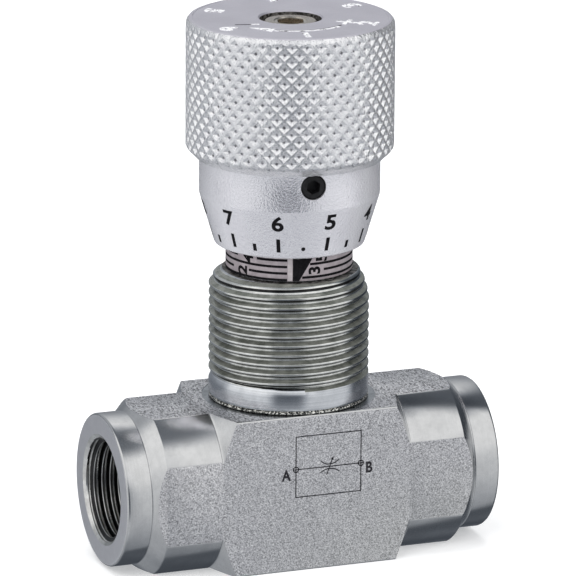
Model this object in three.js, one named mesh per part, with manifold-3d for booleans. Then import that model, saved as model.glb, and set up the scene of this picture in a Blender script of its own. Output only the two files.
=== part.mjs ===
// Inline flow control valve (bidirectional throttle) with a graduated hand knob.
// Millimetres. +X runs along the ports, -Y is the front of the block, +Z runs up the spindle.
// Heights are measured from the port axis; the whole valve is lifted by half the bar at the end,
// which puts the origin in the middle of the block's underside.
import * as THREE from 'three';
import { mergeVertices } from 'three/addons/utils/BufferGeometryUtils.js';
import Module from 'manifold-3d';

const wasm = await Module();
wasm.setup();

// ---- dimensions shared between pieces ---------------------------------------
const BAR = 25;               // square bar the block is cut from
const BLOCK_TOP = BAR / 2;
const FIT = 0.06;             // radial clearance of turned fits
const SNUG_FIT = 0.04;        // radial clearance of the seat ring and scale sleeve
const OVERCUT = 1;            // how far most cutters run past the face they open

const SEAT_POCKET_R = 6.5;
const SEAT_HEIGHT = 3.0;
const BONNET_BORE_R = 10.0;   // bore in the block that takes the bonnet

const HEAD_R = 6.0;           // sliding head of the spindle
const SPINDLE_THREAD_R = 5.0; // M10 x 1
const SPINDLE_TOP_R = 4.0;

const NECK_TOP = 33.0;        // top of the panel thread
const BONNET_TOP = 54.0;
const BONNET_TUBE_R = 8.4;    // tube that carries the scale sleeve
const WIPER_POCKET_R = 6.5;
const WIPER_POCKET_Z = BONNET_TOP - 2.6;

const KNOB_CAVITY_TOP = 58.6;
const WEB_BOTTOM = 63.5;      // web the knob screw clamps through
const WEB_TOP = 66.0;
const KNOB_SCREW_R = 2.5;     // M5
const PIN_R = 0.75;           // dowel pin, half in the spindle and half in the knob
const PIN_HOLE_R = 0.8;

const LOCK_Z = 49.15;         // M4 locking screw through the waist of the knob
const LOCK_ANGLE = -96.1 * Math.PI / 180; // about +Z from +X
const LOCK_R = 1.95;

const FINE = 40;              // sides of round parts
const COARSE = 28;            // sides of small rings
const LARGE = 48;             // sides of the body turning and the knob
const BORE_SIDES = 24;        // sides of small bores and the locking parts
const PIN_SIDES = 16;

// ---- finishes ---------------------------------------------------------------
const FINISHES = {
  body: { color: 0xb4b0b8, roughness: 0.5, metalness: 0.85 },
  seat: { color: 0x8d8f94, roughness: 0.3, metalness: 1.0 },
  bonnet: { color: 0x8f9292, roughness: 0.38, metalness: 0.95 },
  bonnetSeal: { color: 0x1b1b1c, roughness: 0.6, metalness: 0.0 },
  sleeve: { color: 0xc4c2c2, roughness: 0.35, metalness: 0.9 },
  label: { color: 0xd8d3d2, roughness: 0.55, metalness: 0.0 },
  wiper: { color: 0x2a2a2b, roughness: 0.6, metalness: 0.0 },
  spindle: { color: 0xa8a9ad, roughness: 0.25, metalness: 1.0 },
  spindleSeal: { color: 0x161617, roughness: 0.55, metalness: 0.0 },
  backupRing: { color: 0xe6e2d6, roughness: 0.5, metalness: 0.0 },
  knob: { color: 0xc9c9cc, roughness: 0.42, metalness: 0.9 },
  pin: { color: 0x9a9ba0, roughness: 0.3, metalness: 1.0 },
  washer: { color: 0x8e9095, roughness: 0.35, metalness: 1.0 },
  knobScrew: { color: 0xb9b6ae, roughness: 0.25, metalness: 1.0 },
  lockScrew: { color: 0x141415, roughness: 0.45, metalness: 0.6 },
  brass: { color: 0xb5924c, roughness: 0.4, metalness: 1.0 },
};

// ---- helpers ----------------------------------------------------------------
// Welds a geometry into a solid, leaving out the collapsed triangles at its poles.
function toSolid(geometry) {
  geometry.deleteAttribute('normal');
  geometry.deleteAttribute('uv');
  const welded = mergeVertices(geometry, 1e-5);
  const index = welded.index.array;
  const triangles = [];
  for (let i = 0; i < index.length; i += 3) {
    const [a, b, c] = index.slice(i, i + 3);
    if (a !== b && b !== c && c !== a) triangles.push(a, b, c);
  }
  return new wasm.Manifold(new wasm.Mesh({
    numProp: 3,
    vertProperties: new Float32Array(welded.attributes.position.array),
    triVerts: new Uint32Array(triangles),
  }));
}

function toGeometry(solid) {
  const { vertProperties, triVerts } = solid.getMesh();
  const geometry = new THREE.BufferGeometry();
  geometry.setAttribute('position', new THREE.BufferAttribute(vertProperties, 3));
  geometry.setIndex(new THREE.BufferAttribute(triVerts, 1));
  return geometry;
}

const valve = new THREE.Group();
function addPart(name, solid, finish) {
  const material = new THREE.MeshStandardMaterial({ ...finish, flatShading: true });
  const mesh = new THREE.Mesh(toGeometry(solid), material);
  mesh.name = name;
  valve.add(mesh);
}

// Surface of revolution about +Z from [radius, z] points, lowest z first on the outside.
function revolve(points, sides) {
  const profile = points.map(([radius, z]) => new THREE.Vector2(radius, z));
  return new THREE.LatheGeometry(profile, sides).rotateX(Math.PI / 2);
}

// Solid of revolution about +Z.
function turned(points, sides = FINE) {
  return toSolid(revolve(points, sides));
}

// Solid of revolution with a hole: the profile is closed back to its first point.
function turnedRing(points, sides = FINE) {
  return turned([...points, points[0]], sides);
}

function disc(radius, bottom, top, sides = FINE) {
  return turned([[0, bottom], [radius, bottom], [radius, top], [0, top]], sides);
}

// Ring about +Z with a rectangular section.
function ring(innerR, outerR, bottom, top, sides = FINE) {
  return turnedRing([[innerR, bottom], [outerR, bottom], [outerR, top], [innerR, top]], sides);
}

// Cylinder, or prism when it has few sides, between two points.
function rod(from, to, radius, sides) {
  const start = new THREE.Vector3(...from);
  const end = new THREE.Vector3(...to);
  const span = end.clone().sub(start);
  const geometry = new THREE.CylinderGeometry(radius, radius, span.length(), sides);
  const up = new THREE.Vector3(0, 1, 0);
  geometry.applyQuaternion(new THREE.Quaternion().setFromUnitVectors(up, span.normalize()));
  const middle = start.add(end).multiplyScalar(0.5);
  geometry.translate(middle.x, middle.y, middle.z);
  return toSolid(geometry);
}

// Hexagon socket cutter between two points.
function hexSocket(from, to, acrossFlats) {
  return rod(from, to, acrossFlats / Math.sqrt(3), 6);
}

function oRing(midR, sectionR, z, sides) {
  return toSolid(new THREE.TorusGeometry(midR, sectionR, 6, sides).translate(0, 0, z));
}

// Cylinder parallel to +Z on the joint between spindle and knob, on the +X side.
function pinCylinder(bottom, top, radius) {
  return rod([SPINDLE_TOP_R, 0, bottom], [SPINDLE_TOP_R, 0, top], radius, PIN_SIDES);
}

// Point on the locking screw's axis, at a distance from the spindle axis.
function onLockAxis(distance) {
  return [distance * Math.cos(LOCK_ANGLE), distance * Math.sin(LOCK_ANGLE), LOCK_Z];
}

// ---- valve body: square bar with turned ends --------------------------------
const LENGTH = 62;            // face to face
const FACE_X = LENGTH / 2;
const BAR_BEVEL = 0.3;        // broken edges of the bar
const COLLAR_R = 12.0;        // turned collar around each port
const COLLAR_CHAMFER = 0.5;
const COLLAR_END_X = 26.7;    // collar runs from the face to here
const MID_R = 14.0;           // turned mid section, its four flats left from the bar
const MID_START_X = 24.7;
const MID_END_X = 15.4;
const SHOULDER_R = 17.75;     // where the turned shoulder cone leaves the bar's corners
const SHOULDER_X = 13.2;
const PORT_R = 7.48;          // G3/8 tapping size
const PORT_MOUTH_R = 8.75;    // countersunk mouth
const PORT_END_X = FACE_X - 13.0;
const PASSAGE_R = 2.75;
const PASSAGE_X = PORT_END_X + 1.5; // where the passages start inside the ports
const OUTLET_Z = 2.9;
const CHAMBER_R = 7.0;        // throttling chamber above the seat
const CHAMBER_TOP = 6.0;
const LOWER_CHAMBER_R = 4.0;
const LOWER_CHAMBER_Z = -10.0;
const SEAL_RECESS_R = BONNET_BORE_R + 1.7;

function barStock() {
  const side = BAR / 2;
  const flat = side - BAR_BEVEL;
  const outline = new THREE.Shape([
    [-flat, -side], [flat, -side], [side, -flat], [side, flat],
    [flat, side], [-flat, side], [-side, flat], [-side, -flat],
  ].map(([x, y]) => new THREE.Vector2(x, y)));
  const settings = { depth: LENGTH, bevelEnabled: false, steps: 1 };
  const stock = new THREE.ExtrudeGeometry(outline, settings);
  return toSolid(stock.translate(0, 0, -FACE_X).rotateY(Math.PI / 2));
}

// What the lathe leaves of the bar, about X; the two ends are alike.
function turnedEnvelope() {
  const half = [ // radius, x
    [SHOULDER_R, SHOULDER_X], [MID_R, MID_END_X], [MID_R, MID_START_X],
    [COLLAR_R, COLLAR_END_X], [COLLAR_R, FACE_X - COLLAR_CHAMFER],
    [COLLAR_R - COLLAR_CHAMFER, FACE_X], [0, FACE_X],
  ];
  const mirrored = half.map(([radius, x]) => [radius, -x]).reverse();
  return toSolid(revolve([...mirrored, ...half], LARGE).rotateY(Math.PI / 2));
}

// Port with a countersunk mouth and a drill point, swung about +Z to its end of the block.
function portCutter(swing) {
  const profile = [ // radius, x
    [0, PORT_END_X - 3.2], [PORT_R * 0.55, PORT_END_X - 1.4], [PORT_R, PORT_END_X],
    [PORT_R, FACE_X - (PORT_MOUTH_R - PORT_R)], [PORT_MOUTH_R, FACE_X],
    [PORT_MOUTH_R, FACE_X + OVERCUT], [0, FACE_X + OVERCUT],
  ];
  return toSolid(revolve(profile, FINE).rotateY(Math.PI / 2).rotateZ(swing));
}

// Lower chamber, seat pocket, throttling chamber, bonnet bore and seal recess.
function steppedBore() {
  return turned([
    [0, LOWER_CHAMBER_Z], [LOWER_CHAMBER_R, LOWER_CHAMBER_Z],
    [LOWER_CHAMBER_R, -SEAT_HEIGHT], [SEAT_POCKET_R, -SEAT_HEIGHT],
    [SEAT_POCKET_R, 0], [CHAMBER_R, 0], [CHAMBER_R, CHAMBER_TOP],
    [BONNET_BORE_R, CHAMBER_TOP], [BONNET_BORE_R, BLOCK_TOP - 2.5],
    [SEAL_RECESS_R, BLOCK_TOP - 2.0], [SEAL_RECESS_R, BLOCK_TOP + OVERCUT],
    [0, BLOCK_TOP + OVERCUT],
  ]);
}

function valveBody() {
  const cutters = [
    portCutter(0),
    portCutter(Math.PI),
    steppedBore(),
    // the -X passage falls to the lower chamber, the +X passage leaves the upper one
    rod([-PASSAGE_X, 0, -3.9], [0, 0, -6.9], PASSAGE_R, BORE_SIDES),
    rod([2, 0, OUTLET_Z], [PASSAGE_X, 0, OUTLET_Z], PASSAGE_R, BORE_SIDES),
  ];
  const blank = barStock().intersect(turnedEnvelope());
  return cutters.reduce((body, cutter) => body.subtract(cutter), blank);
}
addPart('valve_body', valveBody(), FINISHES.body);

// ---- seat ring --------------------------------------------------------------
const SEAT_BORE_R = 3.5;
const SEAT_CHAMFER_R = 4.2;
const SEAT_OUTER_R = SEAT_POCKET_R - SNUG_FIT;
const SEAT_BOTTOM = -SEAT_HEIGHT + 0.02;

addPart('seat_ring', turnedRing([
  [SEAT_BORE_R, SEAT_BOTTOM], [SEAT_OUTER_R, SEAT_BOTTOM],
  [SEAT_OUTER_R, -0.3], [SEAT_POCKET_R - 0.3, 0],
  [SEAT_CHAMFER_R, 0], [SEAT_BORE_R, -(SEAT_CHAMFER_R - SEAT_BORE_R)],
]), FINISHES.seat);

// ---- bonnet: screwed-in neck with the panel thread --------------------------
const NECK_R = 12.5;          // M25 x 1.5 panel thread
const NECK_UNDERCUT_R = 11.7;
const NECK_THREAD_Z = 16.6;
const NECK_BOTTOM = BLOCK_TOP + 0.02;
const BONNET_BOTTOM = 6.2;
const SPIGOT_R = BONNET_BORE_R - FIT; // M20 x 1.5 spigot in the block
const HEAD_BORE_R = HEAD_R + FIT;
const STOP_Z = 16.9;          // shoulder that ends the opening travel
const THREAD_BORE_R = SPINDLE_THREAD_R + FIT;
const THREAD_TOP = 28.0;
const GUIDE_BORE_R = 5.4;

addPart('bonnet', turnedRing([
  // outside, going up
  [HEAD_BORE_R + 0.6, BONNET_BOTTOM], [SPIGOT_R - 0.5, BONNET_BOTTOM],
  [SPIGOT_R, BONNET_BOTTOM + 0.5], [SPIGOT_R, BLOCK_TOP - 2.4],
  [SPIGOT_R - 0.3, BLOCK_TOP - 2.2], [SPIGOT_R - 0.3, NECK_BOTTOM],
  [NECK_UNDERCUT_R, NECK_BOTTOM], [NECK_UNDERCUT_R, BLOCK_TOP + 0.4],
  [NECK_R - 0.35, BLOCK_TOP + 0.65], [NECK_R, BLOCK_TOP + 1.3], [NECK_R, NECK_THREAD_Z],
  [NECK_R, NECK_TOP - 1.7], [NECK_R - 1.6, NECK_TOP], [BONNET_TUBE_R, NECK_TOP],
  [BONNET_TUBE_R, BONNET_TOP - 0.3], [BONNET_TUBE_R - 0.3, BONNET_TOP],
  // bore, going down
  [WIPER_POCKET_R, BONNET_TOP], [WIPER_POCKET_R, WIPER_POCKET_Z],
  [GUIDE_BORE_R, WIPER_POCKET_Z], [GUIDE_BORE_R, THREAD_TOP],
  [THREAD_BORE_R, THREAD_TOP - 0.3], [THREAD_BORE_R, STOP_Z],
  [HEAD_BORE_R, STOP_Z], [HEAD_BORE_R, BONNET_BOTTOM + 0.6],
]), FINISHES.bonnet);

// static seal in the mouth of the bonnet bore
addPart('bonnet_o_ring', oRing(10.65, 0.86, BLOCK_TOP - 0.9, 36), FINISHES.bonnetSeal);

// ---- scale sleeve and its printed label -------------------------------------
const SLEEVE_OUTER_R = 9.78;
const SLEEVE_INNER_R = BONNET_TUBE_R + SNUG_FIT;
const SLEEVE_BOTTOM = NECK_TOP + 0.1;
const SLEEVE_CHAMFER = 0.4;
const LABEL_R = SLEEVE_OUTER_R + 0.1;
const LABEL_BOTTOM = 33.3;
const LABEL_TOP = 40.4;

addPart('scale_sleeve', turnedRing([
  [SLEEVE_INNER_R, SLEEVE_BOTTOM], [SLEEVE_OUTER_R, SLEEVE_BOTTOM],
  [SLEEVE_OUTER_R, BONNET_TOP - SLEEVE_CHAMFER],
  [SLEEVE_OUTER_R - SLEEVE_CHAMFER, BONNET_TOP], [SLEEVE_INNER_R, BONNET_TOP],
]), FINISHES.sleeve);
const label = ring(SLEEVE_OUTER_R + 0.01, LABEL_R, LABEL_BOTTOM, LABEL_TOP);
addPart('scale_label', label, FINISHES.label);

// ---- wiper ------------------------------------------------------------------
const WIPER_INNER_R = 4.12;
const WIPER_OUTER_R = WIPER_POCKET_R - FIT;
const WIPER_BOTTOM = WIPER_POCKET_Z + 0.1;
const WIPER_TOP = BONNET_TOP - 0.1;

addPart('wiper_ring', turnedRing([
  [WIPER_INNER_R, WIPER_BOTTOM], [WIPER_OUTER_R, WIPER_BOTTOM], [WIPER_OUTER_R, WIPER_TOP],
  [5.0, WIPER_TOP], [WIPER_INNER_R, WIPER_TOP - 0.8],
], COARSE), FINISHES.wiper);

// ---- spindle ----------------------------------------------------------------
const RISE = 4.1;             // how far the needle stands open
const NEEDLE_TIP = RISE - 7.0;
const NEEDLE_R = 4.75;
const STEM_R = 3.6;
const HEAD_LOW = RISE + 6.9;
const HEAD_HIGH = RISE + 10.85; // reaches the stop shoulder at about 6 mm of opening
const GROOVE_R = 4.5;
const GROOVE_LOW = HEAD_LOW + 0.55;
const GROOVE_HIGH = GROOVE_LOW + 2.9;
const RELIEF_R = 4.55;        // undercut between head and thread
const SPINDLE_TOP = WEB_BOTTOM - 0.05;

function spindle() {
  const blank = turned([
    [0, NEEDLE_TIP], [1.5, NEEDLE_TIP], [3.3, RISE - 0.75], [3.42, RISE - 0.7],
    [NEEDLE_R, RISE + 0.63], [NEEDLE_R, RISE + 1.4], [STEM_R, RISE + 2.2],
    [STEM_R, HEAD_LOW - 0.6], [HEAD_R, HEAD_LOW], [HEAD_R, GROOVE_LOW],
    [GROOVE_R, GROOVE_LOW], [GROOVE_R, GROOVE_HIGH], [HEAD_R, GROOVE_HIGH],
    [HEAD_R, HEAD_HIGH], [RELIEF_R, HEAD_HIGH], [RELIEF_R, HEAD_HIGH + 0.8],
    [SPINDLE_THREAD_R, HEAD_HIGH + 1.2], [SPINDLE_THREAD_R, HEAD_HIGH + 13],
    [SPINDLE_TOP_R, HEAD_HIGH + 14], [SPINDLE_TOP_R, SPINDLE_TOP - 0.35],
    [SPINDLE_TOP_R - 0.35, SPINDLE_TOP], [0, SPINDLE_TOP],
  ]);
  return blank
    .subtract(disc(KNOB_SCREW_R + FIT, 50.2, 70, BORE_SIDES))
    .subtract(pinCylinder(KNOB_CAVITY_TOP + 0.35, 70, PIN_HOLE_R));
}
addPart('spindle', spindle(), FINISHES.spindle);

const grooveMiddle = (GROOVE_LOW + GROOVE_HIGH) / 2;
addPart('spindle_o_ring', oRing(5.26, 0.74, grooveMiddle, COARSE), FINISHES.spindleSeal);
for (const [name, bottom, top] of [
  ['backup_ring_lower', GROOVE_LOW + 0.03, GROOVE_LOW + 0.62],
  ['backup_ring_upper', GROOVE_HIGH - 0.62, GROOVE_HIGH - 0.03],
]) {
  addPart(name, ring(GROOVE_R + 0.05, HEAD_R, bottom, top, COARSE), FINISHES.backupRing);
}

// ---- knob -------------------------------------------------------------------
const KNOB_BOTTOM = 37.25;
const KNOB_CAVITY_R = 10.2;
const SKIRT_LOW_R = 11.78;
const SKIRT_HIGH_R = 14.04;
const SKIRT_TOP = 45.25;
const WAIST_TOP = 51.0;
const GRIP_R = 16.15;
const GRIP_LOW = 52.75;
const GRIP_HIGH = 71.25;
const KNOB_TOP = 72.8;
const COUNTERBORE_R = 4.8;
const SCREW_HOLE_R = 2.7;

function knob() {
  const blank = turned([
    [0, KNOB_CAVITY_TOP], [KNOB_CAVITY_R, KNOB_CAVITY_TOP], [KNOB_CAVITY_R, KNOB_BOTTOM],
    [SKIRT_LOW_R - 0.5, KNOB_BOTTOM], [SKIRT_LOW_R, KNOB_BOTTOM + 0.5],
    [SKIRT_HIGH_R, SKIRT_TOP], [SKIRT_HIGH_R, WAIST_TOP], [GRIP_R - 1.55, WAIST_TOP + 0.1],
    [GRIP_R, GRIP_LOW], [GRIP_R, GRIP_HIGH], [GRIP_R - 0.55, KNOB_TOP - 0.15],
    [GRIP_R - 0.9, KNOB_TOP], [0, KNOB_TOP],
  ], LARGE);
  const boreBottom = KNOB_CAVITY_TOP - OVERCUT;
  return blank
    .subtract(disc(SPINDLE_TOP_R + FIT, boreBottom, WEB_BOTTOM))
    .subtract(disc(SCREW_HOLE_R, WEB_BOTTOM - OVERCUT, WEB_TOP + OVERCUT, BORE_SIDES))
    .subtract(disc(COUNTERBORE_R, WEB_TOP, KNOB_TOP + OVERCUT))
    .subtract(pinCylinder(boreBottom, WEB_BOTTOM, PIN_HOLE_R))
    .subtract(rod(onLockAxis(8), onLockAxis(20), LOCK_R + 0.05, BORE_SIDES));
}
addPart('knob', knob(), FINISHES.knob);

// ---- knob fastening ---------------------------------------------------------
const dowelPin = pinCylinder(KNOB_CAVITY_TOP + 0.4, WEB_BOTTOM - 0.1, PIN_R);
addPart('knob_dowel_pin', dowelPin, FINISHES.pin);

// spring lock washer, split once on the +X side by a tilted slot
function springWasher() {
  const slot = new THREE.BoxGeometry(4, 0.6, 3).rotateX(0.5).translate(3.6, 0, WEB_TOP + 0.6);
  return ring(2.75, 4.55, WEB_TOP + 0.02, WEB_TOP + 1.2, COARSE).subtract(toSolid(slot));
}
addPart('knob_spring_washer', springWasher(), FINISHES.washer);

const SCREW_TIP = 51.2;
const SCREW_HEAD_R = 4.25;
const SCREW_HEAD_LOW = WEB_TOP + 1.25;
const SCREW_HEAD_TOP = SCREW_HEAD_LOW + 5.0;

function knobScrew() {
  const blank = turned([
    [0, SCREW_TIP], [KNOB_SCREW_R - 0.5, SCREW_TIP], [KNOB_SCREW_R, SCREW_TIP + 0.5],
    [KNOB_SCREW_R, SCREW_HEAD_LOW], [SCREW_HEAD_R, SCREW_HEAD_LOW],
    [SCREW_HEAD_R, SCREW_HEAD_TOP - 0.4], [SCREW_HEAD_R - 0.4, SCREW_HEAD_TOP],
    [0, SCREW_HEAD_TOP],
  ]);
  const socketBottom = [0, 0, SCREW_HEAD_LOW + 2.4];
  return blank.subtract(hexSocket(socketBottom, [0, 0, SCREW_HEAD_TOP + OVERCUT], 4.0));
}
addPart('knob_screw', knobScrew(), FINISHES.knobScrew);

// ---- locking screw and its brass pad ----------------------------------------
const LOCK_OUT = 13.9;        // distances from the spindle axis
const LOCK_IN = 11.1;
const PAD_IN = 9.86;
const PAD_R = 1.5;

function lockScrew() {
  return rod(onLockAxis(LOCK_IN), onLockAxis(LOCK_OUT), LOCK_R - 0.02, BORE_SIDES)
    .subtract(hexSocket(onLockAxis(LOCK_OUT - 1.6), onLockAxis(LOCK_OUT + 0.6), 2.0));
}
addPart('lock_screw', lockScrew(), FINISHES.lockScrew);
const lockPad = rod(onLockAxis(PAD_IN), onLockAxis(LOCK_IN - 0.05), PAD_R, BORE_SIDES);
addPart('lock_pad', lockPad, FINISHES.brass);

// stand the block's underside on the ground plane
const assembly = new THREE.Group();
assembly.position.z = BAR / 2;
assembly.add(valve);

export default assembly;
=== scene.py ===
"""Adjustable throttle valve: a square zinc body with a threaded port in each end, a threaded
neck with a printed turn scale, and a knurled aluminium knob on top.

The ports lie along X, the neck and knob stand along +Z, and the printed flat of the body
faces -Y. Pieces are built in millimetres about the crossing of the port axis and the knob
axis. place() then turns them into metres and lifts them so that the body rests on z = 0.
"""
import math
import bpy
import bmesh
import numpy as np
from mathutils import Matrix, Vector


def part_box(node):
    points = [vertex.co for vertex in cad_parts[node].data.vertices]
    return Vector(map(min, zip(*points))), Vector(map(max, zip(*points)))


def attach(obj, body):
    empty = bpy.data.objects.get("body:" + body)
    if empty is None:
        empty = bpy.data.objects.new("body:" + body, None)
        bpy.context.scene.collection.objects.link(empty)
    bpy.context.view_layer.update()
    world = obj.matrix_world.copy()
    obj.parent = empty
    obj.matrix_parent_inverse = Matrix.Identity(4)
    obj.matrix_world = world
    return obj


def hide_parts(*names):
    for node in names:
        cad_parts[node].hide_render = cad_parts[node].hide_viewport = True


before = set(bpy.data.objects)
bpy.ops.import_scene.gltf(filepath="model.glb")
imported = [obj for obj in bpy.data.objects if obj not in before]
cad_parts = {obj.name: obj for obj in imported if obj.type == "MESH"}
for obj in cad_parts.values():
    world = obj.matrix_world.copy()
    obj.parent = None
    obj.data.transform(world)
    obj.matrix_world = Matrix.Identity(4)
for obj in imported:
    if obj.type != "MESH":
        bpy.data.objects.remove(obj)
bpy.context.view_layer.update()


# ---------------------------------------------------------------- driving sizes, from the frame (mm)
def box_mm(node):
    low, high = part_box(node)
    return [c * 1000 for c in low], [c * 1000 for c in high]


body_low, body_high = box_mm("valve_body")
knob_low, knob_high = box_mm("knob")
bonnet_low, bonnet_high = box_mm("bonnet")
HALF_LENGTH = body_high[0]
HALF_WIDTH = body_high[1]                # the body is square in section
AXIS_Z = body_low[2] + HALF_WIDTH        # height of the port axis in the frame
KNOB_BOTTOM = knob_low[2] - AXIS_Z
KNOB_TOP = knob_high[2] - AXIS_Z
GRIP_R = knob_high[0]
NECK_R = bonnet_high[0]
BONNET_BOTTOM = bonnet_low[2] - AXIS_Z
BONNET_TOP = bonnet_high[2] - AXIS_Z
TAU = 2 * math.pi

# Knurl: two crossing sets of ridges with pressed diamonds between them
KNURL_STARTS = 44                        # diamonds around the grip
KNURL_HALF = 1.1315                      # half the height of a diamond
KNURL_STEPS = 4                          # mesh steps to half a diamond, both ways
KNURL_Z = 52.75 - 6 * KNURL_HALF / KNURL_STEPS
KNURL_DEPTH = 0.52

CAMERA_TURN = -21.447                    # degrees about Z, from looking along +Y
FACE_ANGLE = math.radians(-90 + CAMERA_TURN)  # direction from the knob axis to the camera


# ---------------------------------------------------------------- mesh helpers
def link(obj):
    bpy.context.scene.collection.objects.link(obj)
    return obj


def close_edit(edit, mesh):
    edit.to_mesh(mesh)
    edit.free()
    mesh.update()


def edit_object(name, edit):
    mesh = bpy.data.meshes.new(name)
    close_edit(edit, mesh)
    return link(bpy.data.objects.new(name, mesh))


def data_object(name, verts, faces):
    mesh = bpy.data.meshes.new(name)
    mesh.from_pydata(verts, [], faces)
    mesh.update()
    return link(bpy.data.objects.new(name, mesh))


def evaluated_mesh(obj):
    graph = bpy.context.evaluated_depsgraph_get()
    graph.update()
    return bpy.data.meshes.new_from_object(obj.evaluated_get(graph))


def finish_mesh(mesh, weld, sharp):
    """Welds close points, then shades smooth except at edges steeper than sharp degrees."""
    edit = bmesh.new()
    edit.from_mesh(mesh)
    bmesh.ops.remove_doubles(edit, verts=edit.verts, dist=weld)
    bmesh.ops.dissolve_degenerate(edit, edges=edit.edges, dist=1e-5)
    close_edit(edit, mesh)
    mesh.polygons.foreach_set("use_smooth", [True] * len(mesh.polygons))
    mesh.set_sharp_from_angle(angle=math.radians(sharp))
    mesh.update()


def profile(points):
    """Rows of a turned surface, each at a fixed radius and height."""
    def ring(r, z):
        return lambda around: (np.full_like(around, r), np.full_like(around, z))
    return [ring(r, z) for r, z in points]


def thread_rows(z_low, z_high, pitch, radius, form, start=0.0):
    """Rows that follow a helix. radius(z, phase, around) gives the surface."""
    turns = int(math.ceil((z_high - z_low) / pitch)) + 2

    def row(turn, phase):
        def surface(around):
            z = z_low + (turn - 2 + phase + start) * pitch + around * pitch
            z = np.clip(z, z_low, z_high)
            phase_here = ((z - z_low - around * pitch) / pitch - start) % 1.0
            return radius(z, phase_here, around), z
        return surface
    return [row(turn, phase) for turn in range(turns) for phase in form[0]]


def turned(name, rows, segments=192, loop=True, sharp=38.0, splits=None):
    """Solid of revolution about Z. A row maps the fraction around to radii and heights.

    loop joins the last row to the first. splits(k) is None for quads in band k, or tells
    for each cell which diagonal cuts it into triangles.
    """
    around = np.arange(segments + 1) / segments
    surfaces = [row(around) for row in rows]
    radii = np.array([s[0] for s in surfaces])
    heights = np.array([s[1] for s in surfaces])
    angles = around * TAU
    verts = np.stack([radii * np.cos(angles), radii * np.sin(angles), heights], -1)
    count = len(rows)
    index = np.arange(count * (segments + 1)).reshape(count, segments + 1).tolist()
    faces = []
    for k in range(count if loop else count - 1):
        a = index[k]
        b = index[(k + 1) % count]
        split = splits(k) if splits else None
        if split is None:
            faces += list(zip(a[:-1], a[1:], b[1:], b[:-1]))
            continue
        for i in range(segments):
            if split[i]:
                faces += [(a[i], a[i + 1], b[i + 1]), (a[i], b[i + 1], b[i])]
            else:
                faces += [(a[i], a[i + 1], b[i]), (a[i + 1], b[i + 1], b[i])]
    obj = data_object(name, verts.reshape(-1, 3).tolist(), faces)
    finish_mesh(obj.data, weld=0.0004, sharp=sharp)
    return obj


def transform(obj, matrix):
    obj.data.transform(matrix)
    obj.data.update()
    return obj


def along_x(obj, sign=1):
    """Turns a +Z solid to lie along +X or -X."""
    return transform(obj, Matrix.Rotation(math.radians(90 * sign), 4, 'Y'))


def aim(origin, direction):
    """Matrix that moves a +Z solid to origin, pointing along a unit direction."""
    turn = Vector((0, 0, 1)).rotation_difference(direction)
    return Matrix.Translation(origin) @ turn.to_matrix().to_4x4()


def boolean(obj, tool, operation="DIFFERENCE"):
    """Applies the tool to the object and removes the tool."""
    modifier = obj.modifiers.new("b", "BOOLEAN")
    modifier.object = tool
    modifier.operation = operation
    modifier.solver = "EXACT"
    mesh = evaluated_mesh(obj)
    obj.modifiers.clear()
    old = obj.data
    obj.data = mesh
    bpy.data.meshes.remove(old)
    bpy.data.objects.remove(tool, do_unlink=True)
    return obj


def block(name, low, high):
    edit = bmesh.new()
    bmesh.ops.create_cube(edit, size=1.0)
    for v in edit.verts:
        v.co = Vector([low[k] + (v.co[k] + 0.5) * (high[k] - low[k]) for k in range(3)])
    return edit_object(name, edit)


def prism(name, outline, z_low, z_high):
    n = len(outline)
    verts = [(x, y, z) for z in (z_low, z_high) for x, y in outline]
    sides = [(i, (i + 1) % n, n + (i + 1) % n, n + i) for i in range(n)]
    return data_object(name, verts, [tuple(reversed(range(n))), tuple(range(n, 2 * n))] + sides)


def rod(name, start, end, r, segments):
    start = Vector(start)
    reach = Vector(end) - start
    length = reach.length
    points = [(0, 0), (r, 0), (r, length), (0, length)]
    obj = turned(name, profile(points), segments, loop=False)
    return transform(obj, aim(start, reach.normalized()))


def join(name, objects):
    edit = bmesh.new()
    for obj in objects:
        edit.from_mesh(obj.data)
    for obj in objects:
        bpy.data.objects.remove(obj, do_unlink=True)
    return edit_object(name, edit)


def smooth_step(x):
    x = np.clip(x, 0, 1)
    return x * x * (3 - 2 * x)


def polar(radius, degrees, centre=(0, 0)):
    angle = math.radians(degrees)
    return centre[0] + radius * math.cos(angle), centre[1] + radius * math.sin(angle)


def arc_points(radius, start, end, steps, centre=(0, 0)):
    return [polar(radius, start + (end - start) * i / steps, centre) for i in range(steps + 1)]


def circle(radius, steps, centre):
    return arc_points(radius, 0, 360, steps, centre)[:-1]


def hexagon(across_flats, angle):
    r = across_flats / math.sqrt(3)
    corners = [angle + i * math.pi / 3 for i in range(6)]
    return [(r * math.cos(a), r * math.sin(a)) for a in corners]


FINISHES = {}                            # materials by name


def paint(obj, finishes, choose):
    """Gives each face the finish named by choose(centre, normal)."""
    for face in obj.data.polygons:
        face.material_index = finishes.index(choose(face.center, face.normal))


def place(obj, body, finishes, replaces=None):
    """Moves a finished piece from mm to the frame and hands it over."""
    transform(obj, Matrix.Scale(0.001, 4) @ Matrix.Translation((0, 0, AXIS_Z)))
    mesh = obj.data
    # clearing the slots resets the indices, so they are kept aside and held within the list
    index = np.zeros(len(mesh.polygons), np.int32)
    mesh.polygons.foreach_get("material_index", index)
    mesh.materials.clear()
    for finish in finishes:
        mesh.materials.append(FINISHES[finish])
    mesh.polygons.foreach_set("material_index", np.minimum(index, len(finishes) - 1))
    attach(obj, body)
    if replaces:
        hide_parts(replaces)


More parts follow.
